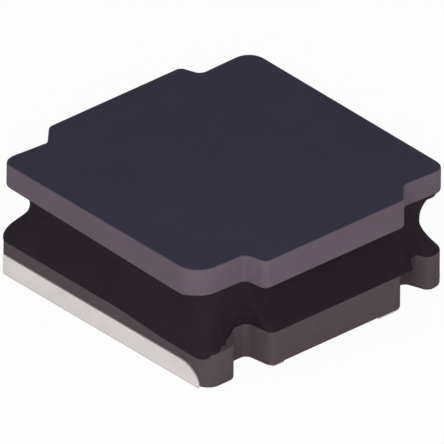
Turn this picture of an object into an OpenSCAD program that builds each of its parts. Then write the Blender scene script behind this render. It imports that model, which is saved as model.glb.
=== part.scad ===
// Resin-shielded surface-mount power inductor: a ferrite drum core, a layered coil of
// enamelled wire, a magnetic resin that fills the winding window, and two plated
// terminals with the wire ends soldered into a groove of each.
// X runs from one terminal to the other, +Z is up, and Z = 0 is the seating plane.

/* [Overall] */
// Height from the seating plane to the top face
total_height = 2; // [1.75:0.05:3.2]

/* [Top flange] */
// Size along X
top_length = 4.96; // [4.7:0.01:5.4]
// Size along Y, over the two centre lobes
top_width = 5.06; // [4.8:0.01:5.4]
// Thickness
top_thickness = 0.5; // [0.3:0.01:0.65]
// Length of a centre lobe along X, at its root
top_lobe_length = 3.18; // [2.4:0.02:3.5]
// How far the sides lie back beside a lobe, at its root
top_step = 0.34; // [0.1:0.01:0.45]
// How much less they lie back at the corners
top_step_taper = 0.05; // [0:0.01:0.08]
// Corner radius
top_corner_r = 0.22; // [0.15:0.01:0.4]

/* [Bottom flange] */
// Size of the ferrite along X
base_length = 4.84; // [4.6:0.01:5.3]
// Size along Y, over the two centre lobes
base_width = 4.92; // [4.7:0.01:5.4]
// Thickness
base_thickness = 0.57; // [0.5:0.01:0.75]
// How far the four corners lie back from the lobes
corner_setback = 0.11; // [0.02:0.01:0.2]
// Corner radius
base_corner_r = 0.22; // [0.15:0.01:0.27]
// Depth of the wire notches, from the lobes
notch_depth = 0.5; // [0.45:0.01:0.5]
// Centre of the wide notches' floor, from the left end
wide_notch_inset = 1; // [0.9:0.005:1.1]
// Width of the wide notches at their floor
wide_notch_w = 0.28; // [0.24:0.01:0.36]
// Centre of the narrow notches' floor, from the right end
narrow_notch_inset = 0.6; // [0.595:0.005:0.7]
// Width of the narrow notches at their floor
narrow_notch_w = 0.16; // [0.15:0.01:0.2]

/* [Coil] */
// Radius of the core's round post
post_r = 1.05; // [0.8:0.01:1.08]
// Diameter of the enamelled wire
wire_d = 0.16; // [0.14:0.005:0.19]
// Layers, an even number so that both leads leave at the bottom
layers = 4; // [2:2:4]
// Bend radius of the leads, at the middle of the wire
lead_bend_r = 0.15; // [0.12:0.01:0.18]
// Length of each wire end that lies soldered in its groove
soldered_length = 1.3; // [0.8:0.05:2]

/* [Resin] */
// Depth of the hollow in the ends
end_hollow = 0.15; // [0.1:0.01:0.25]
// Depth of the hollow in the sides
side_hollow = 0.51; // [0.5:0.005:0.55]
// Depth of the hollow at the corners
corner_hollow = 0.27; // [0.2:0.01:0.4]
// How far its edge lies inside the bottom flange's
resin_setback = 0.01; // [0.005:0.005:0.03]
// How far it reaches over the narrow notches
resin_overhang = 0.2; // [0.05:0.01:0.22]

/* [Terminals] */
// Thickness of the plating
plating = 0.03; // [0.02:0.005:0.06]
// Width of the pad along X
pad_width = 1.5; // [1.3:0.05:1.7]
// Height of the plating on the end wall
terminal_height = 0.34; // [0.25:0.01:0.5]
// Distance from the front end of the flange to the terminal's rounded end
front_margin = 0.29; // [0.1:0.01:0.6]
// Length over which the rounded end rises
end_rise = 0.37; // [0.1:0.01:0.8]
// Height of the upright part below it
end_foot = 0.1; // [0.02:0.01:0.2]
// Depth of the ferrite's groove over the wire end
groove_depth = 0.28; // [0.25:0.01:0.32]
// Clearance between the wire and what it passes or lies in
clearance = 0.01; // [0.005:0.005:0.02]

/* [Hidden] */

ferrite_top = "#312f3d";
ferrite_grey = "#514849";
copper = "#b5652b";
resin_black = "#292028";
tin = "#d3cfcc";
solder_grey = "#b9bcc0";

arc_steps = 7;        // points on each rounded corner of an outline
wire_sides = 8;
hollow_steps = 16;    // facets of the resin's hollow edges
steps_per_turn = 20;
lead_steps = 5;       // points on each bend of a lead
overhang = 0.1;       // how far tools reach past what they cut
step_r = 0.12;        // rounding of the top flange's steps
step_slant = 0.28;
notch_r = 0.12;       // rounding of the notches
// How much each notch opens towards its mouth, on its outer and its inner side
wide_notch_slants = [0.31, 0.07];
narrow_notch_slants = [0.17, 0.31];
eps = 0.001;

wire_r = wire_d / 2;
pitch = wire_d + clearance / 2;
base_bottom = plating;
base_top = base_bottom + base_thickness;
window_top = total_height - top_thickness;
window_height = window_top - base_top;
notch_floor = base_width / 2 - notch_depth;
corner_y = base_width / 2 - corner_setback;
pad_inner_x = base_length / 2 + plating - pad_width;

first_layer_r = post_r + wire_r + clearance;
last_layer_r = first_layer_r + (layers - 1) * pitch;
winding_r = last_layer_r + wire_r + clearance;
lead_z = base_top + wire_r + 3 * clearance;
coil_bottom_z = lead_z + wire_d + clearance;
// As many turns in a layer as the window holds
turns_per_layer = floor((window_top - coil_bottom_z - wire_r - clearance) / pitch);
coil_rise = turns_per_layer * pitch;
notch_wire_y = notch_floor + wire_r + 3 * clearance;
groove_w = wire_d + 2 * plating + 8 * clearance;
groove_z = plating + wire_r + clearance;
groove_end_y = notch_floor - soldered_length - plating - clearance;

// Where the notches lie at the left end, side -1, and at the right end, side 1.
function notch_x(side) =
    side * (base_length / 2 - (side < 0 ? wide_notch_inset : narrow_notch_inset));

function reversed(list) = [for (i = [len(list) - 1 : -1 : 0]) list[i]];

// ---- Outlines: each corner is [x, y, radius], walked anticlockwise ----

function unit(v) = v / norm(v);

function rounded_corner(before, corner, after) =
    let (p = [corner[0], corner[1]],
         u = unit([before[0], before[1]] - p),
         v = unit([after[0], after[1]] - p),
         half = acos(max(-1, min(1, u * v))) / 2,
         centre = p + unit(u + v) * corner[2] / sin(half),
         from = p + u * corner[2] / tan(half) - centre,
         to = p + v * corner[2] / tan(half) - centre,
         sweep = 180 - 2 * half)
    [for (i = [0 : arc_steps])
        let (t = i / arc_steps)
        centre + (from * sin((1 - t) * sweep) + to * sin(t * sweep)) / sin(sweep)];

function rounded(corners) =
    let (n = len(corners))
    [for (i = [0 : n - 1])
        each rounded_corner(corners[(i + n - 1) % n], corners[i], corners[(i + 1) % n])];

// The front side from left to right, then its mirror image as the back side.
function with_back(front) =
    concat(front, [for (i = [len(front) - 1 : -1 : 0]) [front[i][0], -front[i][1], front[i][2]]]);

function top_side() =
    let (x = top_length / 2, lobe = top_lobe_length / 2, y = top_width / 2, root_y = y - top_step)
    [[-x, -(root_y + top_step_taper), top_corner_r],
     [-lobe, -root_y, step_r],
     [step_slant - lobe, -y, step_r],
     [lobe - step_slant, -y, step_r],
     [lobe, -root_y, step_r],
     [x, -(root_y + top_step_taper), top_corner_r]];

// Half of a notch, from its floor to its mouth at y.
function half_notch(x, width, slant, y, floor_r = notch_r) =
    [[x + width / 2, -notch_floor, floor_r], [x + width / 2 + slant, -y, notch_r]];

// The lobes may reach over the narrow notches by the cover.
function base_side(cover = 0) =
    let (x = base_length / 2, lobe_y = base_width / 2)
    concat([[-x, -corner_y, base_corner_r]],
           reversed(half_notch(notch_x(-1), -wide_notch_w, -wide_notch_slants[0], corner_y)),
           half_notch(notch_x(-1), wide_notch_w, wide_notch_slants[1], lobe_y),
           reversed(half_notch(notch_x(1), -narrow_notch_w, cover - narrow_notch_slants[1], lobe_y,
                               cover > 0 ? notch_r / 2 : notch_r)),
           half_notch(notch_x(1), narrow_notch_w, narrow_notch_slants[0], corner_y),
           [[x, -corner_y, base_corner_r]]);

top_outline = rounded(with_back(top_side()));
base_outline = rounded(with_back(base_side()));
resin_outline = rounded(with_back(base_side(resin_overhang)));

// ---- Solids swept or lofted from rings of points ----

// Closes a row of rings with equal numbers of points, which run anticlockwise seen from its end.
module skin(rings) {
    n = len(rings[0]);
    last = len(rings) - 1;
    polyhedron(
        points = [for (ring = rings) each ring],
        faces = concat(
            [[for (i = [0 : n - 1]) i]],
            [for (r = [0 : last - 1], i = [0 : n - 1])
                let (j = (i + 1) % n, a = r * n, b = a + n)
                each [[a + i, b + i, b + j], [a + i, b + j, a + j]]],
            [[for (i = [n - 1 : -1 : 0]) last * n + i]]),
        convexity = 12);
}

// ---- Drum core ----

// The groove under the flange that takes a wire end, open to its notch.
module groove(side) {
    translate([notch_x(side) - groove_w / 2, groove_end_y, base_bottom - eps])
        cube([groove_w, notch_floor + notch_r - groove_end_y, groove_depth + eps]);
}

module drum_core() {
    color(ferrite_top)
        translate([0, 0, window_top])
            linear_extrude(top_thickness) polygon(top_outline);
    color(ferrite_grey) {
        translate([0, 0, base_top - eps])
            cylinder(r = post_r, h = window_height + 2 * eps, $fn = 96);
        difference() {
            translate([0, 0, base_bottom]) linear_extrude(base_thickness) polygon(base_outline);
            groove(-1);
            groove(1);
        }
    }
}

// ---- Coil: one wire, from one soldered end to the other ----

// Where a line from p touches a circle about the axis; turn is 1 or -1.
function touch_angle(p, r, turn) = atan2(p[1], p[0]) + turn * acos(r / norm([p[0], p[1]]));

notch_left = [notch_x(-1), notch_wire_y];
notch_right = [notch_x(1), notch_wire_y];
angle_in = touch_angle(notch_left, first_layer_r, 1);
angle_out = touch_angle(notch_right, last_layer_r, -1);
climb_angle = 90;     // turning over which the first lead rises to the first layer
// Turning left over for the steps from each layer to the next
spare_angle = (angle_out - angle_in - climb_angle + 720) % 360;
layer_step_angle = spare_angle / (layers - 1);
layer_angle = turns_per_layer * 360;

function on_circle(r, angle, z) = [r * cos(angle), r * sin(angle), z];

function layer_r(k) = first_layer_r + k * pitch;

function climb_points() =
    let (n = steps_per_turn * climb_angle / 360)
    [for (i = [0 : n - 1])
        on_circle(first_layer_r, angle_in + climb_angle * i / n,
                  lead_z + (coil_bottom_z - lead_z) * i / n)];

function layer_points(k) =
    let (start = angle_in + climb_angle + k * (layer_angle + layer_step_angle),
         n = turns_per_layer * steps_per_turn)
    [for (i = [0 : n])
        let (t = k % 2 == 0 ? i / n : 1 - i / n)
        on_circle(layer_r(k), start + layer_angle * i / n, coil_bottom_z + coil_rise * t)];

coil_points = concat(climb_points(), [for (k = [0 : layers - 1]) each layer_points(k)]);

// A bend in a lead at corner b, between a and c.
function bend(a, b, c) =
    let (u = unit(a - b), v = unit(c - b),
         half = acos(u * v) / 2,
         centre = b + unit(u + v) * lead_bend_r / sin(half),
         from = b + u * lead_bend_r / tan(half) - centre,
         to = b + v * lead_bend_r / tan(half) - centre,
         sweep = 180 - 2 * half)
    [for (i = [0 : lead_steps])
        let (t = i / lead_steps)
        centre + (from * sin((1 - t) * sweep) + to * sin(t * sweep)) / sin(sweep)];

// From the wire's end in the groove, up the notch, to the coil.
function lead_points(at_notch, at_coil) =
    let (tip = [at_notch[0], notch_floor - soldered_length, groove_z],
         low = [at_notch[0], at_notch[1], groove_z],
         high = [at_notch[0], at_notch[1], lead_z])
    concat([tip], bend(tip, low, high), bend(low, high, at_coil));

lead_in = lead_points(notch_left, coil_points[0]);
lead_out = reversed(lead_points(notch_right, coil_points[len(coil_points) - 1]));
wire_path = concat(lead_in, coil_points, lead_out);

// The wire's sides stay level in the coil and upright in the leads.
function wire_normal(i, tangent) =
    let (last_in = len(lead_in) - 1, first_out = len(wire_path) - len(lead_out),
         n = i <= last_in ? [1, 0, 0] : i >= first_out ? [-1, 0, 0] : cross([0, 0, 1], tangent))
    unit(n - (n * tangent) * tangent);

function wire_ring(i, path, radius) =
    let (last = len(path) - 1,
         tangent = unit(path[min(i + 1, last)] - path[max(i - 1, 0)]),
         n = wire_normal(i, tangent),
         b = cross(tangent, n))
    [for (k = [0 : wire_sides - 1])
        let (angle = 360 * (k + 0.5) / wire_sides)
        path[i] + radius * (n * cos(angle) + b * sin(angle))];

module coil_wire() {
    color(copper)
        skin([for (i = [0 : len(wire_path) - 1]) wire_ring(i, wire_path, wire_r)]);
}

// ---- Resin ----

// The hollowed edge of a block's section: half an ellipse, from bottom to top.
function hollow_edge(edge, hollow) =
    [for (i = [0 : hollow_steps])
        let (a = 180 * i / hollow_steps)
        [edge - resin_setback - hollow * sin(a), window_height * (1 - cos(a)) / 2]];

// A bar with both edges hollowed, which runs along Y.
module hollowed_bar(edge, hollow, length) {
    right = hollow_edge(edge, hollow);
    left = [for (p = reversed(right)) [-p[0], p[1]]];
    rotate([90, 0, 0]) linear_extrude(length, center = true) polygon(concat(right, left));
}

// A disc with its rim hollowed.
module hollowed_disc(edge, hollow) {
    rotate_extrude($fn = 96)
        polygon(concat([[0, 0]], hollow_edge(edge, hollow), [[0, window_height]]));
}

// The straight way that a lead takes through the resin, from a to b.
module lead_channel(a, b) {
    along = b - a;
    translate(a)
        rotate([0, acos(along[2] / norm(along)), atan2(along[1], along[0])])
            cylinder(r = wire_r + clearance, h = norm(along), $fn = 32);
}

module resin_fill() {
    bar_length = 2 * (max(base_length, top_length) + overhang);
    corner = [base_length / 2 - base_corner_r, corner_y - base_corner_r];
    color(resin_black)
        difference() {
            translate([0, 0, base_top]) intersection() {
                union() {
                    linear_extrude(window_height / 2) polygon(resin_outline);
                    translate([0, 0, window_height / 2])
                        linear_extrude(window_height / 2) polygon(top_outline);
                }
                hollowed_bar(base_length / 2, end_hollow, bar_length);
                rotate([0, 0, 90]) hollowed_bar(base_width / 2, side_hollow, bar_length);
                hollowed_disc(norm(corner) + base_corner_r, corner_hollow);
            }
            translate([0, 0, base_top - eps])
                cylinder(r = winding_r, h = window_height + 2 * eps, $fn = 96);
            lead_channel([notch_left[0], notch_left[1], lead_z], coil_points[0]);
            lead_channel([notch_right[0], notch_right[1], lead_z],
                         coil_points[len(coil_points) - 1]);
        }
}

// ---- Terminals: silver-plated faces of the bottom flange, and the solder in their grooves ----

// The flange's outline grown by the plating at its two end walls and their corners.
module plated_end_2d() {
    x = base_length / 2 + plating;
    y = corner_y + plating;
    r = base_corner_r + plating;
    polygon(rounded([[-x, -y, r], [x, -y, r], [x, y, r], [-x, y, r]]));
}

// The end wall's plating seen along X: it starts upright at the front, rises in a quarter
// ellipse, and covers the whole of the back corner.
module end_wall_2d() {
    from = front_margin - base_width / 2;
    polygon(concat(
        [[from, 0]],
        [for (i = [0 : arc_steps])
            let (a = 90 * i / arc_steps)
            [from + end_rise * (1 - cos(a)), end_foot + (terminal_height - end_foot) * sin(a)]],
        [[corner_y - base_corner_r + overhang, terminal_height],
         [corner_y - base_corner_r + overhang, 0]]));
}

module terminal(side) {
    wall_x = base_length / 2 - base_corner_r;
    groove_x = notch_x(side);
    color(tin) {
        // The end wall
        intersection() {
            linear_extrude(terminal_height) difference() {
                plated_end_2d();
                polygon(base_outline);
            }
            translate([side < 0 ? -base_length : wall_x, 0, 0])
                rotate([90, 0, 90]) linear_extrude(base_length - wall_x) end_wall_2d();
        }
        // The pad below, open along the wire
        linear_extrude(plating) difference() {
            intersection() {
                polygon(base_outline);
                translate([side < 0 ? -base_length : pad_inner_x, -base_width])
                    square([base_length - pad_inner_x, 2 * base_width]);
            }
            translate([groove_x - groove_w / 2 + plating, groove_end_y + plating])
                square([groove_w - 2 * plating, base_width]);
        }
        // The lining of the groove
        difference() {
            translate([groove_x - groove_w / 2, groove_end_y, plating])
                cube([groove_w, notch_floor - groove_end_y, groove_depth]);
            translate([groove_x - groove_w / 2 + plating, groove_end_y + plating, plating - eps])
                cube([groove_w - 2 * plating, base_width, groove_depth - plating + eps]);
        }
    }
}

module solder(side) {
    groove_x = notch_x(side);
    color(solder_grey)
        difference() {
            translate([groove_x - groove_w / 2 + plating, groove_end_y + plating, 0])
                cube([groove_w - 2 * plating, notch_floor - groove_end_y - plating, groove_depth]);
            translate([groove_x, notch_floor - soldered_length - clearance, groove_z])
                rotate([-90, 0, 0])
                    cylinder(r = wire_r + clearance, h = base_width, $fn = 32);
        }
}

module terminal_left() { terminal(-1); }
module terminal_right() { terminal(1); }
module solder_left() { solder(-1); }
module solder_right() { solder(1); }

drum_core();
coil_wire();
resin_fill();
terminal_left();
terminal_right();
solder_left();
solder_right();
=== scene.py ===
import math

import bmesh
import bpy
from mathutils import Matrix, Vector


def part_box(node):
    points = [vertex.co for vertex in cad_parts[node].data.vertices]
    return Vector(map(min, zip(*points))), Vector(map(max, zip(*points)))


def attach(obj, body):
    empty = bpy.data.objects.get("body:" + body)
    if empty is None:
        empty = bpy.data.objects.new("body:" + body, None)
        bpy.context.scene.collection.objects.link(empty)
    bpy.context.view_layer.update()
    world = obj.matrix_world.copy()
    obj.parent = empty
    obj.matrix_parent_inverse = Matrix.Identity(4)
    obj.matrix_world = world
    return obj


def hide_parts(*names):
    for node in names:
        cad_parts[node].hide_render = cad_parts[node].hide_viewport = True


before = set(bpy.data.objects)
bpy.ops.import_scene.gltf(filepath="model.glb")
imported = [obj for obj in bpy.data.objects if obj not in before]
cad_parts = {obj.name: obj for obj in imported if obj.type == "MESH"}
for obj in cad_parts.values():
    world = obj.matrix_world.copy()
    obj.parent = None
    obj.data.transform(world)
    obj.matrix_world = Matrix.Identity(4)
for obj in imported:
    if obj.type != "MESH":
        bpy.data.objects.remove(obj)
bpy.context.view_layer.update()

mm = 0.001  # shapes are made in millimetres and scaled once, when they are done
scene = bpy.context.scene


def boxInMm(node):
    low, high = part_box(node)
    return Vector(low) / mm, Vector(high) / mm


coreLow, coreHigh = boxInMm("drum_core")


# Camera

cameraSetup = {
    "azimuth": -41.94,
    "elevation": 31.16,
    "roll": 0.545,
    "widthSeen": 6.675,  # mm across the picture
    "aimHeight": 1.0,
    "aimRight": -0.0216,  # the aim's offset along the picture's own axes
    "aimUp": -0.0262,
    "distance": 100.0,
}


def placeCamera(setup):
    azimuth, elevation = math.radians(setup["azimuth"]), math.radians(setup["elevation"])
    back = Vector((math.sin(azimuth) * math.cos(elevation),
                   -math.cos(azimuth) * math.cos(elevation),
                   math.sin(elevation)))
    data = bpy.data.cameras.new("camera")
    data.type = "ORTHO"
    data.ortho_scale = setup["widthSeen"] * mm
    data.clip_start, data.clip_end = 0.001, 1.0
    camera = bpy.data.objects.new("camera", data)
    scene.collection.objects.link(camera)
    roll = Matrix.Rotation(math.radians(setup["roll"]), 3, "Z")
    turn = (-back).to_track_quat("-Z", "Y").to_matrix() @ roll
    aim = (Vector((0, 0, setup["aimHeight"]))
           + turn @ Vector((setup["aimRight"], setup["aimUp"], 0))
           + back * setup["distance"])
    camera.matrix_world = Matrix.Translation(aim * mm) @ turn.to_4x4()
    scene.camera = camera


placeCamera(cameraSetup)
print("camera placed")


# Mesh helpers

def newObject(name, bm):
    # Uses up the bmesh
    mesh = bpy.data.meshes.new(name)
    bm.to_mesh(mesh)
    bm.free()
    made = bpy.data.objects.new(name, mesh)
    scene.collection.objects.link(made)
    return made


def finishPiece(bm, name, material, sharpAngle=35):
    # From millimetres to metres, and into a piece that rides on the part
    bmesh.ops.scale(bm, vec=(mm, mm, mm), verts=bm.verts)
    piece = newObject(name, bm)
    piece.data.materials.append(material)
    smoothByAngle(piece, sharpAngle)
    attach(piece, "root")
    return piece


def smoothByAngle(piece, degrees):
    mesh = piece.data
    mesh.polygons.foreach_set("use_smooth", [True] * len(mesh.polygons))
    bm = bmesh.new()
    bm.from_mesh(mesh)
    limit = math.radians(degrees)
    for edge in bm.edges:
        edge.smooth = edge.is_manifold and edge.calc_face_angle(0) < limit
    bm.to_mesh(mesh)
    bm.free()
    even = piece.modifiers.new("evenNormals", "WEIGHTED_NORMAL")
    even.keep_sharp = True


def levelFace(bm, z):
    return max((face for face in bm.faces if abs(face.calc_center_median().z - z) < 1e-4),
               key=lambda face: face.calc_area())


def roundedFace(bm, corners, z, segments=12):
    # A flat face from (x, y, radius) corners, each rounded by its own radius
    verts = [bm.verts.new((x, y, z)) for x, y, radius in corners]
    bm.faces.new(verts)
    count = len(corners)
    cuts = []
    for i, vert in enumerate(verts):
        before = (verts[i - 1].co - vert.co).normalized()
        after = (verts[(i + 1) % count].co - vert.co).normalized()
        half = before.angle(after) / 2
        cuts.append((vert, corners[i][2] / math.tan(half)))
    for vert, cut in cuts:
        bmesh.ops.bevel(bm, geom=[vert], offset=cut, offset_type="OFFSET", affect="VERTICES",
                        segments=segments, profile=0.5, material=-1)
    return levelFace(bm, z)


def kindOf(parts, kind):
    return [part for part in parts if isinstance(part, kind)]


def drawOut(bm, face, way):
    # Draws a face along a vector into a closed solid
    drawn = bmesh.ops.extrude_face_region(bm, geom=[face])["geom"]
    bmesh.ops.translate(bm, vec=way, verts=kindOf(drawn, bmesh.types.BMVert))
    bmesh.ops.recalc_face_normals(bm, faces=bm.faces)


def prism(corners, low, high):
    bm = bmesh.new()
    drawOut(bm, roundedFace(bm, corners, low), (0, 0, high - low))
    return bm


def block(low, high):
    bm = bmesh.new()
    size = Vector(high) - Vector(low)
    bmesh.ops.create_cube(bm, size=1)
    bmesh.ops.scale(bm, vec=size, verts=bm.verts)
    bmesh.ops.translate(bm, vec=(Vector(high) + Vector(low)) / 2, verts=bm.verts)
    return bm


def combine(base, tools):
    # Each tool is (operation, bmesh); the result is a new bmesh
    body = newObject("shape", base)
    shapes = [body]
    for operation, bm in tools:
        tool = newObject("shape", bm)
        shapes.append(tool)
        step = body.modifiers.new("step", "BOOLEAN")
        step.operation, step.object, step.solver = operation, tool, "EXACT"
    result = bmesh.new()
    result.from_object(body, bpy.context.evaluated_depsgraph_get())
    for shape in shapes:
        bpy.data.objects.remove(shape)
    bmesh.ops.remove_doubles(result, verts=result.verts, dist=1e-5)
    return result


def softenEdges(bm, width, minAngle, segments=2):
    # Rounds every corner that is sharper than minAngle
    limit = math.radians(minAngle)
    edges = [edge for edge in bm.edges if edge.is_manifold and edge.calc_face_angle(0) > limit]
    bmesh.ops.bevel(bm, geom=edges, offset=width, offset_type="OFFSET", affect="EDGES",
                    segments=segments, profile=0.5, material=-1, clamp_overlap=True)


def mirrored(front):
    # The front side's corners as the back side's
    return [(x, -y, radius) for x, y, radius in reversed(front)]


# Materials

def fromRgb(red, green, blue):
    def channel(value):
        value = value / 255
        return value / 12.92 if value <= 0.04045 else ((value + 0.055) / 1.055) ** 2.4
    return (channel(red), channel(green), channel(blue), 1)


def nodeGroup(name, inputs, outputs):
    group = bpy.data.node_groups.new(name, "ShaderNodeTree")
    for label, kind, value in inputs:
        socket = group.interface.new_socket(label, in_out="INPUT", socket_type=kind)
        socket.default_value = value
    for label, kind in outputs:
        group.interface.new_socket(label, in_out="OUTPUT", socket_type=kind)
    return group, group.nodes.new("NodeGroupInput"), group.nodes.new("NodeGroupOutput")


def feed(tree, socket, value):
    # A socket takes a constant or another node's output
    if isinstance(value, (int, float, tuple)):
        socket.default_value = value
    else:
        tree.links.new(value, socket)


def mathNode(tree, operation, first, second, clamp=False):
    node = tree.nodes.new("ShaderNodeMath")
    node.operation = operation
    node.use_clamp = clamp
    for socket, value in zip(node.inputs, (first, second)):
        feed(tree, socket, value)
    return node.outputs[0]


def remap(tree, value, given, wanted):
    # Maps the first range of values onto the second
    node = tree.nodes.new("ShaderNodeMapRange")
    for label, end in zip(("From Min", "From Max", "To Min", "To Max"), (*given, *wanted)):
        feed(tree, node.inputs[label], end)
    tree.links.new(value, node.inputs["Value"])
    return node


def coordsInMm(tree):
    coords = tree.nodes.new("ShaderNodeTexCoord")
    toMm = tree.nodes.new("ShaderNodeVectorMath")
    toMm.operation = "SCALE"
    toMm.inputs["Scale"].default_value = 1 / mm
    tree.links.new(coords.outputs["Object"], toMm.inputs[0])
    return toMm.outputs[0]


noiseRange = (0.3, 0.7)  # where nearly all of a noise's values lie


def makeGrainGroup():
    # Pressed powder: a fine grain, with scattered darker pores
    group, given, result = nodeGroup(
        "pressedGrain",
        [("Grain size", "NodeSocketFloat", 0.03), ("Pore size", "NodeSocketFloat", 0.1),
         ("Pore amount", "NodeSocketFloat", 0.1)],
        [("Grain", "NodeSocketFloat"), ("Pores", "NodeSocketFloat"), ("Height", "NodeSocketFloat")])
    coords = coordsInMm(group)
    grain = group.nodes.new("ShaderNodeTexNoise")
    grain.inputs["Detail"].default_value = 3
    grain.inputs["Roughness"].default_value = 0.6
    grainScale = mathNode(group, "DIVIDE", 1.0, given.outputs["Grain size"])
    group.links.new(coords, grain.inputs["Vector"])
    group.links.new(grainScale, grain.inputs["Scale"])

    cells = group.nodes.new("ShaderNodeTexVoronoi")
    cells.feature = "F1"
    poreScale = mathNode(group, "DIVIDE", 1.0, given.outputs["Pore size"])
    group.links.new(coords, cells.inputs["Vector"])
    group.links.new(poreScale, cells.inputs["Scale"])
    poreRadius, poreSharpness = 0.32, 4.0  # the radius is a share of the cell
    nearness = mathNode(group, "SUBTRACT", poreRadius, cells.outputs["Distance"], clamp=True)
    chance = group.nodes.new("ShaderNodeSeparateColor")
    group.links.new(cells.outputs["Color"], chance.inputs[0])
    chosen = mathNode(group, "LESS_THAN", chance.outputs[0], given.outputs["Pore amount"])
    depth = mathNode(group, "MULTIPLY", nearness, poreSharpness, clamp=True)
    pores = mathNode(group, "MULTIPLY", depth, chosen)
    height = mathNode(group, "SUBTRACT", grain.outputs["Fac"], pores)
    group.links.new(grain.outputs["Fac"], result.inputs["Grain"])
    group.links.new(pores, result.inputs["Pores"])
    group.links.new(height, result.inputs["Height"])
    return group


def makeFacingGroup():
    # 1 on faces that look straight up or down, 0 on upright walls, soft between
    group, given, result = nodeGroup(
        "levelFaces",
        [("Start", "NodeSocketFloat", 0.35), ("End", "NodeSocketFloat", 0.9)],
        [("Up", "NodeSocketFloat"), ("Down", "NodeSocketFloat")])
    geometry = group.nodes.new("ShaderNodeNewGeometry")
    toObject = group.nodes.new("ShaderNodeVectorTransform")
    toObject.vector_type = "NORMAL"
    toObject.convert_from, toObject.convert_to = "WORLD", "OBJECT"
    group.links.new(geometry.outputs["Normal"], toObject.inputs[0])
    split = group.nodes.new("ShaderNodeSeparateXYZ")
    group.links.new(toObject.outputs[0], split.inputs[0])
    for label, sign in (("Up", 1.0), ("Down", -1.0)):
        facing = mathNode(group, "MULTIPLY", split.outputs["Z"], sign)
        ramp = remap(group, facing, (given.outputs["Start"], given.outputs["End"]), (0.0, 1.0))
        ramp.interpolation_type = "SMOOTHSTEP"
        group.links.new(ramp.outputs[0], result.inputs[label])
    return group


def makeMottleGroup():
    # Slow, faint changes of tone
    group, given, result = nodeGroup(
        "mottle",
        [("Patch size", "NodeSocketFloat", 0.8), ("Low", "NodeSocketFloat", 0.94),
         ("High", "NodeSocketFloat", 1.06)],
        [("Factor", "NodeSocketFloat")])
    noise = group.nodes.new("ShaderNodeTexNoise")
    noise.inputs["Detail"].default_value = 2
    patchScale = mathNode(group, "DIVIDE", 1.0, given.outputs["Patch size"])
    group.links.new(coordsInMm(group), noise.inputs["Vector"])
    group.links.new(patchScale, noise.inputs["Scale"])
    ramp = remap(group, noise.outputs["Fac"], noiseRange,
                 (given.outputs["Low"], given.outputs["High"]))
    group.links.new(ramp.outputs[0], result.inputs["Factor"])
    return group


grainGroup = makeGrainGroup()
facingGroup = makeFacingGroup()
mottleGroup = makeMottleGroup()


def newMaterial(name):
    material = bpy.data.materials.new(name)
    material.use_nodes = True
    tree = material.node_tree
    return material, tree, tree.nodes["Principled BSDF"]


def placeGroup(tree, group, *values):
    node = tree.nodes.new("ShaderNodeGroup")
    node.node_tree = group
    for socket, value in zip(node.inputs, values):
        socket.default_value = value
    return node


def placeGrain(tree, look):
    return placeGroup(tree, grainGroup, look["grainSize"], look["poreSize"], look["poreAmount"])


def placeMottle(tree, look):
    return placeGroup(tree, mottleGroup, look["patchSize"], *look["patchTone"])


def mixColors(tree, factor, first, second):
    node = tree.nodes.new("ShaderNodeMix")
    node.data_type = "RGBA"
    for index, value in ((0, factor), (6, first), (7, second)):
        feed(tree, node.inputs[index], value)
    return node.outputs[2]


def plainColor(tree, color):
    node = tree.nodes.new("ShaderNodeRGB")
    node.outputs[0].default_value = color
    return node.outputs[0]


def scaleColor(tree, color, factor):
    node = tree.nodes.new("ShaderNodeVectorMath")
    node.operation = "SCALE"
    tree.links.new(color, node.inputs[0])
    tree.links.new(factor, node.inputs["Scale"])
    return node.outputs[0]


def addBump(tree, shader, height, look):
    bump = tree.nodes.new("ShaderNodeBump")
    bump.inputs["Strength"].default_value = look["bump"]
    bump.inputs["Distance"].default_value = look["bumpDepth"] * mm
    tree.links.new(height, bump.inputs["Height"])
    tree.links.new(bump.outputs[0], shader.inputs["Normal"])


ferriteLook = {
    # Painted light and shade in the face tones: a darker top, lighter upper walls, darker lower
    # walls
    "paintedShadeTop": fromRgb(49, 47, 61),
    "paintedLightUpperWall": fromRgb(97, 86, 95),
    "paintedShadeLowerWall": fromRgb(81, 72, 76),
    # The walls are painted lit above this height and shaded below it
    "wallSplit": 1.2,  # height in mm between the two walls' tones
    # Painted shadow on the downward-facing rounded rims, and painted shade on the downward faces
    "paintedShadowRim": fromRgb(44, 39, 41),
    "underside": fromRgb(70, 63, 67),
    "roughness": 0.62,
    "specular": 0.04,
    "grainSize": 0.022,
    "grainTone": (0.9, 1.1),
    "poreSize": 0.11,
    "poreAmount": 0.05,
    "poreShade": 0.25,
    "patchSize": 0.9,
    "patchTone": (0.95, 1.05),
    "bump": 0.35,
    "bumpDepth": 0.004,
}


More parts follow.
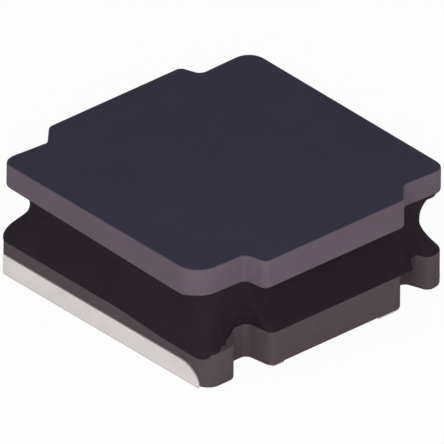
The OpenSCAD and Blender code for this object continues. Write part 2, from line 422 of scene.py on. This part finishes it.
def makeFerrite(look):
    # Painted light and shade: each face's tone goes by the way it looks, and the walls' by their
    # height too; the top is painted darker, the upper walls lighter and the lower walls darker, and
    # downward faces and rims carry a painted shadow
    material, tree, shader = newMaterial("ferrite")
    grain = placeGrain(tree, look)
    facing = placeGroup(tree, facingGroup, 0.35, 0.9)
    # Mask for the painted shadow on the downward-facing rounded rims
    rim = placeGroup(tree, facingGroup, 0.1, 0.5)
    coords = tree.nodes.new("ShaderNodeTexCoord")
    split = tree.nodes.new("ShaderNodeSeparateXYZ")
    tree.links.new(coords.outputs["Object"], split.inputs[0])
    # Painted light on the walls above wallSplit, painted shade below it
    upper = mathNode(tree, "GREATER_THAN", split.outputs["Z"], look["wallSplit"] * mm)
    wall = mixColors(tree, upper, look["paintedShadeLowerWall"], look["paintedLightUpperWall"])
    # Painted shadow: downward faces and rounded lower rims are darkened
    below = mixColors(tree, facing.outputs["Down"], look["paintedShadowRim"], look["underside"])
    wall = mixColors(tree, rim.outputs["Down"], wall, below)
    # The top face is painted a darker shade
    onTop = mathNode(tree, "MULTIPLY", facing.outputs["Up"], upper)
    color = mixColors(tree, onTop, wall, look["paintedShadeTop"])

    grainTone = remap(tree, grain.outputs["Grain"], noiseRange, look["grainTone"]).outputs[0]
    shade = mathNode(tree, "MULTIPLY", grain.outputs["Pores"], look["poreShade"])
    poreTone = mathNode(tree, "SUBTRACT", 1.0, shade)
    tone = mathNode(tree, "MULTIPLY", mathNode(tree, "MULTIPLY", grainTone, poreTone),
                    placeMottle(tree, look).outputs["Factor"])
    tree.links.new(scaleColor(tree, color, tone), shader.inputs["Base Color"])
    shader.inputs["Roughness"].default_value = look["roughness"]
    shader.inputs["Specular IOR Level"].default_value = look["specular"]
    addBump(tree, shader, grain.outputs["Height"], look)
    return material


resinLook = {
    "color": fromRgb(41, 33, 40),
    "roughness": 0.75,
    "specular": 0.03,
    "grainSize": 0.035,
    "grainTone": (0.88, 1.12),
    "poreSize": 0.2,
    "poreAmount": 0.06,
    "patchSize": 0.5,
    "patchTone": (0.93, 1.07),
    "bump": 0.3,
    "bumpDepth": 0.006,
}


def makeResin(look):
    material, tree, shader = newMaterial("magneticResin")
    grain = placeGrain(tree, look)
    grainTone = remap(tree, grain.outputs["Grain"], noiseRange, look["grainTone"]).outputs[0]
    tone = mathNode(tree, "MULTIPLY", grainTone, placeMottle(tree, look).outputs["Factor"])
    color = scaleColor(tree, plainColor(tree, look["color"]), tone)
    tree.links.new(color, shader.inputs["Base Color"])
    shader.inputs["Roughness"].default_value = look["roughness"]
    shader.inputs["Specular IOR Level"].default_value = look["specular"]
    addBump(tree, shader, grain.outputs["Height"], look)
    return material


platingLook = {
    "color": fromRgb(214, 208, 206),
    # Painted shadow on the downward-facing folded lower edge
    "paintedShadowEdge": fromRgb(120, 114, 112),
    "roughness": (0.34, 0.54),
    "metallic": 0.55,
    "grainSize": 0.05,
    "poreSize": 0.3,
    "poreAmount": 0.05,
    "patchSize": 0.45,
    "patchTone": (0.95, 1.03),
    "bump": 0.25,
    "bumpDepth": 0.003,
}


def makePlating(look):
    material, tree, shader = newMaterial("terminalPlating")
    grain = placeGrain(tree, look)
    # Painted shadow: the folded lower edge, where it faces down, is painted darker than the faces
    # on either side of it
    edgeStart = placeGroup(tree, facingGroup, 0.1, 0.4).outputs["Down"]
    edgeEnd = placeGroup(tree, facingGroup, 0.8, 0.98).outputs["Down"]
    edge = mathNode(tree, "SUBTRACT", edgeStart, edgeEnd, clamp=True)
    # The painted shadow is mixed into the plating's colour on the folded lower edge
    edgeWithPaintedShadow = mixColors(tree, edge, plainColor(tree, look["color"]), look["paintedShadowEdge"])
    color = scaleColor(tree, edgeWithPaintedShadow, placeMottle(tree, look).outputs["Factor"])
    tree.links.new(color, shader.inputs["Base Color"])
    rough = remap(tree, grain.outputs["Grain"], (0.0, 1.0), look["roughness"])
    tree.links.new(rough.outputs[0], shader.inputs["Roughness"])
    shader.inputs["Metallic"].default_value = look["metallic"]
    addBump(tree, shader, grain.outputs["Height"], look)
    return material


solderLook = {
    "color": fromRgb(190, 192, 196),
    "roughness": 0.28,
    "metallic": 0.9,
    "coat": 0.0,
    "patchSize": 0.15,
    "patchTone": (0.88, 1.08),
    "bump": 0.3,
    "bumpDepth": 0.01,
}
copperLook = {
    "color": fromRgb(176, 92, 38),
    "roughness": 0.22,
    "metallic": 0.75,
    "coat": 0.6,
    "patchSize": 0.4,
    "patchTone": (0.88, 1.08),
    "bump": 0.3,
    "bumpDepth": 0.01,
}


def makeMetal(name, look):
    material, tree, shader = newMaterial(name)
    mottle = placeMottle(tree, look).outputs["Factor"]
    color = scaleColor(tree, plainColor(tree, look["color"]), mottle)
    tree.links.new(color, shader.inputs["Base Color"])
    shader.inputs["Metallic"].default_value = look["metallic"]
    shader.inputs["Roughness"].default_value = look["roughness"]
    shader.inputs["Coat Weight"].default_value = look["coat"]
    addBump(tree, shader, mottle, look)
    return material


ferrite = makeFerrite(ferriteLook)
resin = makeResin(resinLook)
plating = makePlating(platingLook)
solder = makeMetal("solder", solderLook)
copper = makeMetal("enamelledCopper", copperLook)
print("materials made")


# Outlines

topShape = {
    "thickness": 0.5,
    "stepRadius": 0.12,
    # At each corner: the end and the lobe beside it, the step between them, and the side it leaves
    "frontLeft": {"endX": 2.48, "lobeY": 2.55, "tipX": 1.42, "rootX": 1.52, "rootY": 2.175,
                  "cornerY": 2.14, "radius": 0.4},
    "frontRight": {"endX": 2.485, "lobeY": 2.56, "tipX": 1.35, "rootX": 1.65, "rootY": 2.225,
                   "cornerY": 2.275, "radius": 0.235},
    "backRight": {"endX": 2.51, "lobeY": 2.535, "tipX": 1.37, "rootX": 1.49, "rootY": 2.2,
                  "cornerY": 2.215, "radius": 0.31},
    "backLeft": {"endX": 2.48, "lobeY": 2.545, "tipX": 1.26, "rootX": 1.585, "rootY": 2.215,
                 "cornerY": 2.29, "radius": 0.23},
    "upperEdge": 0.045,
    "lowerEdge": 0.025,
    # The lower rim rises at the left and right corners, along the ends and along the sides,
    # and a little at the front left lobe's step
    "rimLift": 0.09,
    "endLiftSpan": (-1.2, 1.8),
    "sideLiftSpan": (1.4, 1.7),
    "nearLift": 0.02,
    "nearLiftX": -1.45,
}

baseShape = {
    "length": 4.84,
    "width": 4.92,
    "thickness": 0.57,
    "cornerSetback": 0.11,
    "cornerRadii": {"frontLeft": 0.25, "frontRight": 0.27, "backRight": 0.22, "backLeft": 0.16},
    "notchDepth": 0.5,
    "notchRadius": 0.12,
    "mouthRadius": 0.17,
    "wideNotch": {"inset": 1.0, "width": 0.28, "slants": (0.31, 0.07)},  # outer and inner side
    "narrowNotch": {"inset": 0.6, "width": 0.16, "slants": (0.14, 0.35)},
    "upperEdge": 0.02,
    "lowerEdge": 0.02,
}

# How the resin reaches over the narrow notches
coverShape = {"reach": 0.25, "floorY": 2.17, "gap": 0.02, "radius": 0.04}

topZ = coreHigh.z
windowTop = topZ - topShape["thickness"]
baseBottom = coreLow.z
baseTop = baseBottom + baseShape["thickness"]
lobeY = baseShape["width"] / 2
cornerY = lobeY - baseShape["cornerSetback"]
notchFloor = lobeY - baseShape["notchDepth"]
wideX = baseShape["wideNotch"]["inset"] - baseShape["length"] / 2
narrowX = baseShape["length"] / 2 - baseShape["narrowNotch"]["inset"]


def topCorners(shape):
    # The top flange's outline, anticlockwise from its front left corner
    def step(name, signX, signY):
        # From a corner over the step to the lobe
        values = shape[name]
        return [(signX * values["endX"], signY * values["cornerY"], values["radius"]),
                (signX * values["rootX"], signY * values["rootY"], shape["stepRadius"]),
                (signX * values["tipX"], signY * values["lobeY"], shape["stepRadius"])]

    return (step("frontLeft", -1, -1) + step("frontRight", 1, -1)[::-1]
            + step("backRight", 1, 1) + step("backLeft", -1, 1)[::-1])


def baseCorners(shape, cover=None):
    # The bottom flange's outline; with a cover, the resin's, which reaches over the narrow notches
    x, radius, mouth = shape["length"] / 2, shape["notchRadius"], shape["mouthRadius"]
    wide, narrow = shape["wideNotch"], shape["narrowNotch"]
    wideLow, wideHigh = wideX - wide["width"] / 2, wideX + wide["width"] / 2
    narrowLow, narrowHigh = narrowX - narrow["width"] / 2, narrowX + narrow["width"] / 2
    lobeEnd = narrowLow - narrow["slants"][1]
    if cover:
        floorY, softness = cover["floorY"], cover["radius"]
        floor = [(lobeEnd + cover["reach"], -lobeY, softness),
                 (narrowX + cover["gap"], -floorY, softness),
                 (narrowHigh + narrow["slants"][0] / 2, -floorY, softness)]
    else:
        floor = [(lobeEnd, -lobeY, mouth),
                 (narrowLow, -notchFloor, radius),
                 (narrowHigh, -notchFloor, radius)]
    notches = [(wideLow - wide["slants"][0], -cornerY, mouth),
               (wideLow, -notchFloor, radius),
               (wideHigh, -notchFloor, radius),
               (wideHigh + wide["slants"][1], -lobeY, radius),
               *floor,
               (narrowHigh + narrow["slants"][0], -cornerY, radius)]
    corners = shape["cornerRadii"]
    return [(-x, -cornerY, corners["frontLeft"]), *notches,
            (x, -cornerY, corners["frontRight"]), (x, cornerY, corners["backRight"]),
            *mirrored(notches), (-x, cornerY, corners["backLeft"])]


topSide = topCorners(topShape)
baseSide = baseCorners(baseShape)


# Coil wire

wireShape = {
    "diameter": 0.16,
    "layers": 4,
    "turnsPerLayer": 3,
    "postRadius": 1.05,
    "clearance": 0.01,
    "bendRadius": 0.15,
    "solderedLength": 1.3,
    "pointsPerTurn": 40,
}

wireRadius = wireShape["diameter"] / 2
clearance = wireShape["clearance"]
wirePitch = wireShape["diameter"] + clearance / 2
firstRadius = wireShape["postRadius"] + wireRadius + clearance
lastRadius = firstRadius + (wireShape["layers"] - 1) * wirePitch
windingRadius = lastRadius + wireRadius + clearance
leadZ = baseTop + wireRadius + 3 * clearance
coilLow = leadZ + wireShape["diameter"] + clearance
notchWireY = notchFloor + wireRadius + 3 * clearance
grooveZ = wireRadius + clearance


def onCircle(radius, angle, z):
    return Vector((radius * math.cos(angle), radius * math.sin(angle), z))


def touchAngle(x, y, radius, turn):
    # Where a straight lead from (x, y) meets a circle of the winding
    return math.atan2(y, x) + turn * math.acos(radius / math.hypot(x, y))


def bendPoints(before, corner, after, radius, count=8):
    # An arc at a corner of the wire's way
    u, v = (before - corner).normalized(), (after - corner).normalized()
    half = u.angle(v) / 2
    middle = corner + (u + v).normalized() * radius / math.sin(half)
    start = corner + u * radius / math.tan(half) - middle
    end = corner + v * radius / math.tan(half) - middle
    sweep = math.pi - 2 * half
    return [middle + (start * math.sin((1 - i / count) * sweep) + end * math.sin(i / count * sweep))
            / math.sin(sweep) for i in range(count + 1)]


def wireWay(shape):
    # From one soldered end up through its notch, round the post and down the other notch
    full = 2 * math.pi
    angleIn = touchAngle(wideX, notchWireY, firstRadius, 1)
    angleOut = touchAngle(narrowX, notchWireY, lastRadius, -1)
    climb = full / 4
    spare = (angleOut - angleIn - climb) % full
    step, turns = shape["pointsPerTurn"], shape["turnsPerLayer"]
    rise = turns * wirePitch
    points = [onCircle(firstRadius, angleIn + climb * i * 4 / step,
                       leadZ + (coilLow - leadZ) * i * 4 / step) for i in range(step // 4)]
    for layer in range(shape["layers"]):
        start = angleIn + climb + layer * (turns * full + spare / (shape["layers"] - 1))
        for i in range(turns * step + 1):
            share = i / (turns * step)
            height = share if layer % 2 == 0 else 1 - share
            points.append(onCircle(firstRadius + layer * wirePitch, start + turns * full * share,
                                   coilLow + rise * height))

    def lead(x, coilEnd):
        tip = Vector((x, notchFloor - shape["solderedLength"], grooveZ))
        low, high = Vector((x, notchWireY, grooveZ)), Vector((x, notchWireY, leadZ))
        bend = shape["bendRadius"]
        return [tip] + bendPoints(tip, low, high, bend) + bendPoints(low, high, coilEnd, bend)

    return lead(wideX, points[0]) + points + lead(narrowX, points[-1])[::-1]


def makeWire(shape):
    curve = bpy.data.curves.new("wireWay", "CURVE")
    curve.dimensions = "3D"
    curve.bevel_depth = wireRadius
    curve.bevel_resolution = 4
    curve.use_fill_caps = True
    points = wireWay(shape)
    spline = curve.splines.new("POLY")
    spline.points.add(len(points) - 1)
    for spot, place in zip(spline.points, points):
        spot.co = (*place, 1)
    holder = bpy.data.objects.new("wireWay", curve)
    scene.collection.objects.link(holder)
    bm = bmesh.new()
    bm.from_mesh(holder.to_mesh())
    bpy.data.objects.remove(holder)
    bmesh.ops.remove_doubles(bm, verts=bm.verts, dist=1e-5)
    bmesh.ops.recalc_face_normals(bm, faces=bm.faces)
    return bm


coil = finishPiece(makeWire(wireShape), "coilWire", copper)
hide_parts("coil_wire")
print("coil wire made", len(coil.data.polygons))


# Drum core

grooveShape = {"depth": 0.28, "lining": 0.03}
grooveWidth = wireShape["diameter"] + 2 * grooveShape["lining"] + 8 * clearance
grooveEndY = notchFloor - wireShape["solderedLength"] - grooveShape["lining"] - clearance


def softenRims(bm, low, high, lowWidth, highWidth, segments=3):
    # Rounds a prism's rims, each by its own width
    for z, width in ((low, lowWidth), (high, highWidth)):
        if not width:
            continue
        edges = [edge for edge in bm.edges
                 if all(abs(vert.co.z - z) < 1e-5 for vert in edge.verts) and edge.is_manifold
                 and edge.calc_face_angle(0) > 1]
        bmesh.ops.bevel(bm, geom=edges, offset=width, offset_type="OFFSET", affect="EDGES",
                        segments=segments, profile=0.5, material=-1, clamp_overlap=True)


def smoothStep(low, high, value):
    share = min(1, max(0, (value - low) / (high - low)))
    return share * share * (3 - 2 * share)


endBand, sideBand = 2.2, 1.9  # what lies further out than these belongs to an end, or a side


def rimLift(shape, place):
    # How far the top flange's lower rim rises at a place
    along = place.y if place.x < 0 else -place.y
    ends = smoothStep(*shape["endLiftSpan"], along) if abs(place.x) > endBand else 0
    across = place.x if place.y < 0 else -place.x
    sides = smoothStep(*shape["sideLiftSpan"], across) if abs(place.y) > sideBand else 0
    near = shape["nearLift"] if place.y < -sideBand and place.x < shape["nearLiftX"] else 0
    return shape["rimLift"] * max(ends, sides) + near


def windowCylinder(radius, reach=0.1):
    # A cylinder through the winding window that reaches past it at both ends
    bm = bmesh.new()
    bmesh.ops.create_cone(bm, cap_ends=True, segments=96, radius1=radius, radius2=radius,
                          depth=windowTop - baseTop + 2 * reach)
    bmesh.ops.translate(bm, vec=(0, 0, (windowTop + baseTop) / 2), verts=bm.verts)
    return bm


def makeCore():
    top = prism(topSide, windowTop, topZ)
    softenRims(top, windowTop, topZ, topShape["lowerEdge"], topShape["upperEdge"])
    base = prism(baseSide, baseBottom, baseTop)
    softenRims(base, baseBottom, baseTop, baseShape["lowerEdge"], baseShape["upperEdge"])
    post = windowCylinder(wireShape["postRadius"])
    grooves = [block((x - grooveWidth / 2, grooveEndY, baseBottom - 0.1),
                     (x + grooveWidth / 2, notchFloor + baseShape["notchRadius"],
                      baseBottom + grooveShape["depth"])) for x in (wideX, narrowX)]
    bm = combine(base, [*(("DIFFERENCE", groove) for groove in grooves),
                        ("UNION", post), ("UNION", top)])
    postBand, slack = 1.5, 0.001
    for vert in bm.verts:
        onRim = windowTop - slack < vert.co.z < windowTop + topShape["lowerEdge"] + slack
        if onRim and vert.co.xy.length > postBand:
            vert.co.z += rimLift(topShape, vert.co)
    return bm


core = finishPiece(makeCore(), "drumCore", ferrite)
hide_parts("drum_core")
print("drum core made", len(core.data.polygons))


# Resin

resinShape = {
    "waistX": 2.26,
    "waistY": 2.05,
    "waistRadius": 0.27,
    "waistHeight": 0.5,  # share of the window
    "lowerBow": 1.05,  # 1 is a plain arc
    "upperBow": 0.75,
    "setback": 0.01,
    "upperSetback": 0.04,
    # Towards the back left corner the waist is higher and deeper, over a flat lip
    "behindSpan": (0.4, 2.2),
    "waistHeightBehind": 0.633,
    "lipSpan": (0.06, 1.1),  # shares of the way up to the waist between which the lip draws in
    "deeperBehind": 0.1,
    "bareSpan": (1.9, 2.25),
    "bareUnderside": 0.8,  # how much of the flange's underside stays bare there
    # Along the left end the lip bulges and hangs down, most of all at its front
    "endSpan": (2.2, 2.42),
    "bulge": 0.008,
    "endHang": 0.02,
    "frontHang": 0.07,
    "frontSpan": (0.2, 1.6),
    # From the front left notch it draws back
    "mouthSetback": 0.11,
    "mouthStart": (1.6, 1.78),
    "mouthEnd": (2.0, 2.2),
    "mouthY": -2,
    "lipDepth": 0.004,
    "rings": 12,
    "ringCrowding": 1.5,  # how much closer the rings lie under the top flange
    "pointSpacing": 0.1,
    "smoothing": 3,
}


def waistPoint(shape, home):
    # The nearest place on the waist, a rectangle with rounded corners
    radius = shape["waistRadius"]
    halfX, halfY = shape["waistX"] - radius, shape["waistY"] - radius
    inner = Vector((min(halfX, max(-halfX, home.x)), min(halfY, max(-halfY, home.y)), 0))
    return inner + (Vector((home.x, home.y, 0)) - inner).normalized() * radius


def cornerwards(home):
    # How far a place lies towards the back left corner
    return (home.y - home.x) / 2


def behindAt(shape, home):
    return smoothStep(*shape["behindSpan"], cornerwards(home))


def endWeight(shape, home):
    return smoothStep(*shape["endSpan"], -home.x)


def hangAt(shape, home):
    front = smoothStep(*shape["frontSpan"], -home.y)
    return (shape["endHang"] + shape["frontHang"] * front) * endWeight(shape, home)


def setbackAt(shape, home):
    start, end = smoothStep(*shape["mouthStart"], -home.x), smoothStep(*shape["mouthEnd"], -home.x)
    nearMouth = start * (1 - end) * (home.y < shape["mouthY"])
    return (shape["setback"] - (shape["setback"] + shape["bulge"]) * endWeight(shape, home)
            + shape["mouthSetback"] * nearMouth)


def drawRings(bm, face, start, places):
    # Moves a face's outline to its start and draws it on as rings; each place is found from
    # a point of the outline and its outward direction
    layers = bm.verts.layers.float_vector
    home = layers.get("home") or layers.new("home")
    outward = layers.get("outward") or layers.new("outward")
    turn = 1 if face.normal.z > 0 else -1
    for loop in face.loops:
        along = (loop.link_loop_next.vert.co - loop.link_loop_prev.vert.co).normalized() * turn
        loop.vert[home] = loop.vert.co
        loop.vert[outward] = Vector((along.y, -along.x, 0))
    edges = list(face.edges)
    for vert in face.verts:
        vert.co = start(vert[home], vert[outward])
    bmesh.ops.delete(bm, geom=[face], context="FACES_ONLY")
    for place in places:
        drawn = bmesh.ops.extrude_edge_only(bm, edges=edges)["geom"]
        edges = kindOf(drawn, bmesh.types.BMEdge)
        for vert in kindOf(drawn, bmesh.types.BMVert):
            vert.co = place(vert[home], vert[outward])
    return edges


def outlineFace(bm, corners, z, spacing):
    # A rounded face with points set along its straight stretches
    face = roundedFace(bm, corners, z, 8)
    for edge in [edge for edge in face.edges if edge.calc_length() > spacing * 1.5]:
        bmesh.ops.subdivide_edges(bm, edges=[edge], cuts=int(edge.calc_length() / spacing))
    return levelFace(bm, z)


def makeResinBody(shape):
    # Rings drawn up from the bottom flange and down from the top one, joined at the waist
    count = shape["rings"]

    def waistZ(home):
        behind = behindAt(shape, home)
        share = shape["waistHeight"] * (1 - behind) + shape["waistHeightBehind"] * behind
        return baseTop + (windowTop - baseTop) * share

    def towards(home, share, z):
        deeper = 1 + shape["deeperBehind"] * behindAt(shape, home)
        point = home.lerp(waistPoint(shape, home), share * deeper)
        return Vector((point.x, point.y, z))

    def lowerRing(share):
        arc = math.sin(math.pi / 2 * share) ** shape["lowerBow"]
        lip = smoothStep(*shape["lipSpan"], share) / smoothStep(*shape["lipSpan"], 1)

        def place(home, out):
            behind = behindAt(shape, home)
            return towards(home - out * setbackAt(shape, home), (1 - behind) * arc + behind * lip,
                           baseTop + (waistZ(home) - baseTop) * share)
        return place

    def upperRing(share):
        curve = math.sin(math.pi / 2 * share) ** shape["upperBow"]

        def place(home, out):
            top = windowTop + rimLift(topShape, home)
            bare = shape["bareUnderside"] * smoothStep(*shape["bareSpan"], cornerwards(home))
            return towards(home - out * shape["upperSetback"], bare + (1 - bare) * curve,
                           top - (top - waistZ(home)) * share)
        return place

    def highStart(home, out):
        # Inside the first ring, and level, so that its face closes flat
        point = upperRing(0)(home, out) - out * shape["upperSetback"]
        return Vector((point.x, point.y, windowTop))

    def lowStart(home, out):
        # A hair outside the lip, which keeps the solid sound for the bore
        outset = 0.003
        return home - out * (setbackAt(shape, home) - outset)

    def lipEnd(home, out):
        low = home - out * setbackAt(shape, home)
        low.z -= shape["lipDepth"] + hangAt(shape, home)
        return low

    bm = bmesh.new()
    low = outlineFace(bm, baseCorners(baseShape, coverShape), baseTop, shape["pointSpacing"])
    lowEdges = drawRings(bm, low, lowStart,
                         [lipEnd, *(lowerRing(i / count) for i in range(count))])
    high = outlineFace(bm, topSide, windowTop, shape["pointSpacing"])
    highEdges = drawRings(bm, high, highStart,
                          [upperRing((i / count) ** shape["ringCrowding"]) for i in range(count)])
    # The corners are evened out between the two rims, which stay as they are
    evenLow, evenHigh = baseTop + 0.07, windowTop - 0.03
    inner = [vert for vert in bm.verts if evenLow < vert.co.z < evenHigh]
    for _ in range(shape["smoothing"]):
        bmesh.ops.smooth_vert(bm, verts=inner, factor=0.5, use_axis_x=True, use_axis_y=True)
    bmesh.ops.bridge_loops(bm, edges=lowEdges + highEdges)
    bmesh.ops.holes_fill(bm, edges=[edge for edge in bm.edges if edge.is_boundary], sides=0)
    for label in ("home", "outward"):
        bm.verts.layers.float_vector.remove(bm.verts.layers.float_vector[label])
    bmesh.ops.recalc_face_normals(bm, faces=bm.faces)
    if bm.calc_volume(signed=True) < 0:
        bmesh.ops.reverse_faces(bm, faces=bm.faces)
    return combine(bm, [("DIFFERENCE", windowCylinder(windingRadius))])


resinBody = finishPiece(makeResinBody(resinShape), "resinFill", resin, 50)
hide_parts("resin_fill")
print("resin made", len(resinBody.data.polygons))


# Terminals

terminalShape = {
    "plating": 0.03,
    "padWidth": 1.5,
    "height": 0.35,
    "frontMargin": 0.28,
    "endRise": 0.4,
    "endFoot": 0.04,
    "edgeRadius": 0.01,
    "bottomEdge": 0.035,
    "padEdge": 0.025,
    "padInset": 0.03,  # from the lobes' edges
    "backMargin": 0.12,
}


def endWallProfile(shape):
    # The plated end wall seen along x: an upright foot, a quarter ellipse, and a level top
    start = shape["frontMargin"] - lobeY
    arc = [(start + shape["endRise"] * (1 - math.cos(math.radians(angle))),
            shape["endFoot"] + (shape["height"] - shape["endFoot"]) * math.sin(math.radians(angle)))
           for angle in range(0, 91, 6)]
    end, below = cornerY - shape["backMargin"], -0.05
    return [(start, below), *arc, (end, shape["height"]), (end, below)]


def makeTerminal(shape, side):
    # Side is -1 at the left end and 1 at the right
    plating, height = shape["plating"], shape["height"]
    x, y = baseShape["length"] / 2 + plating, cornerY + plating
    front, back = [baseShape["cornerRadii"][row + ("Left" if side < 0 else "Right")] + plating
                   for row in ("front", "back")]
    grooveX = wideX if side < 0 else narrowX

    # The end wall is a shell round the flange, cut to its profile
    shellTop, profileInset, profileDepth = height + 0.05, 0.35, 0.5
    wall = prism([(-x, -y, front), (x, -y, front), (x, y, back), (-x, y, back)], 0, shellTop)
    softenRims(wall, 0, shellTop, shape["bottomEdge"], 0)
    profile = bmesh.new()
    face = profile.faces.new([profile.verts.new((side * (x - profileInset), wallY, wallZ))
                              for wallY, wallZ in endWallProfile(shape)])
    drawOut(profile, face, (side * profileDepth, 0, 0))
    flange = prism(baseSide, -0.1, height + 0.1)
    wall = combine(wall, [("INTERSECT", profile), ("DIFFERENCE", flange)])

    # The pad follows the flange's outline, and is a thin film along the front side and past
    # the back lobe's edge
    pad = prism(baseSide, 0, plating)
    softenRims(pad, 0, plating, shape["padEdge"], 0)
    padX = side * (x - shape["padWidth"])
    bmesh.ops.bisect_plane(pad, geom=pad.verts[:] + pad.edges[:] + pad.faces[:],
                           plane_co=(padX, 0, 0), plane_no=(-side, 0, 0), clear_outer=True)
    bmesh.ops.holes_fill(pad, edges=[edge for edge in pad.edges if edge.is_boundary], sides=0)
    bmesh.ops.recalc_face_normals(pad, faces=pad.faces)
    padLimit, film, stripWidth = lobeY - shape["padInset"], 0.002, 1
    edges = [block((-x, near, -0.1), (x, near + stripWidth, plating - film))
             for near in (-padLimit, padLimit)]
    pad = combine(pad, [("DIFFERENCE", edge) for edge in edges])

    half = grooveWidth / 2
    lining = block((grooveX - half, grooveEndY, plating / 2),
                   (grooveX + half, notchFloor, plating + grooveShape["depth"]))
    channel = block((grooveX - half + plating, grooveEndY + plating, -0.1),
                    (grooveX + half - plating, lobeY + 0.5, grooveShape["depth"]))
    bm = combine(pad, [("UNION", lining), ("DIFFERENCE", channel), ("UNION", wall)])
    softenEdges(bm, shape["edgeRadius"], minAngle=50)
    return bm


for side, name, node in ((-1, "terminalLeft", "terminal_left"),
                         (1, "terminalRight", "terminal_right")):
    piece = finishPiece(makeTerminal(terminalShape, side), name, plating)
    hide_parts(node)
    print(name, "made", len(piece.data.polygons))


# Solder

solderShape = {"sink": 0.03, "insets": (0.03, 0.035), "edgeRadius": 0.02}


def makeSolder(shape, x):
    # Fills the groove round the wire, its face drawn in a little between the walls
    lining = grooveShape["lining"]
    half = grooveWidth / 2 - lining
    low, high = grooveEndY + lining, notchFloor
    bm = block((x - half, low, 0), (x + half, high, grooveShape["depth"]))
    bottom = min(bm.faces, key=lambda face: face.calc_center_median().z)
    for width in shape["insets"]:
        bmesh.ops.inset_region(bm, faces=[bottom], thickness=width)
        bmesh.ops.translate(bm, vec=(0, 0, shape["sink"] / 2), verts=bottom.verts)
    softenEdges(bm, shape["edgeRadius"], minAngle=20, segments=3)
    return bm


for x, name, node in ((wideX, "solderLeft", "solder_left"),
                      (narrowX, "solderRight", "solder_right")):
    piece = finishPiece(makeSolder(solderShape, x), name, solder, 60)
    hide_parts(node)
print("solder made")


# Light, floor and background

stageSetup = {
    "floorSize": 60.0,
    "floorTone": (0.9, 0.9, 0.9, 1),
    "floorWhite": 0.95,  # how much of the floor's look is plain white
    "worldStrength": 0.62,
    "keyPlace": (-18, -20, 16),
    "keyPower": 0.005,
    "keySize": 20.0,
}


def makeFloor(setup):
    bm = bmesh.new()
    bmesh.ops.create_grid(bm, x_segments=1, y_segments=1, size=setup["floorSize"] * mm / 2)
    floor = newObject("floor", bm)
    material, tree, shader = newMaterial("paleFloor")
    shader.inputs["Base Color"].default_value = setup["floorTone"]
    shader.inputs["Roughness"].default_value = 0.8
    shader.inputs["Specular IOR Level"].default_value = 0
    white = tree.nodes.new("ShaderNodeEmission")
    path = tree.nodes.new("ShaderNodeLightPath")
    mix = tree.nodes.new("ShaderNodeMixShader")
    seen = mathNode(tree, "MAXIMUM", path.outputs["Is Camera Ray"], path.outputs["Is Glossy Ray"])
    tree.links.new(mathNode(tree, "MULTIPLY", seen, setup["floorWhite"]), mix.inputs[0])
    tree.links.new(shader.outputs[0], mix.inputs[1])
    tree.links.new(white.outputs[0], mix.inputs[2])
    tree.links.new(mix.outputs[0], tree.nodes["Material Output"].inputs[0])
    floor.data.materials.append(material)


def makeWorld(setup):
    world = bpy.data.worlds.new("world")
    scene.world = world
    world.use_nodes = True
    tree = world.node_tree
    background = tree.nodes["Background"]
    background.inputs["Color"].default_value = (1, 1, 1, 1)
    path = tree.nodes.new("ShaderNodeLightPath")
    seen = mathNode(tree, "MAXIMUM", path.outputs["Is Camera Ray"], path.outputs["Is Glossy Ray"])
    strength = remap(tree, seen, (0.0, 1.0), (setup["worldStrength"], 1.0))
    tree.links.new(strength.outputs[0], background.inputs["Strength"])


def makeLamp(name, place, power, size):
    data = bpy.data.lights.new(name, "AREA")
    data.energy, data.size = power, size * mm
    lamp = bpy.data.objects.new(name, data)
    lamp.location = Vector(place) * mm
    lamp.rotation_mode = "QUATERNION"
    lamp.rotation_quaternion = Vector(place).to_track_quat("Z", "Y")
    scene.collection.objects.link(lamp)


makeFloor(stageSetup)
makeWorld(stageSetup)
makeLamp("keyLamp", stageSetup["keyPlace"], stageSetup["keyPower"], stageSetup["keySize"])
scene.view_settings.view_transform = "Standard"
print("stage made")
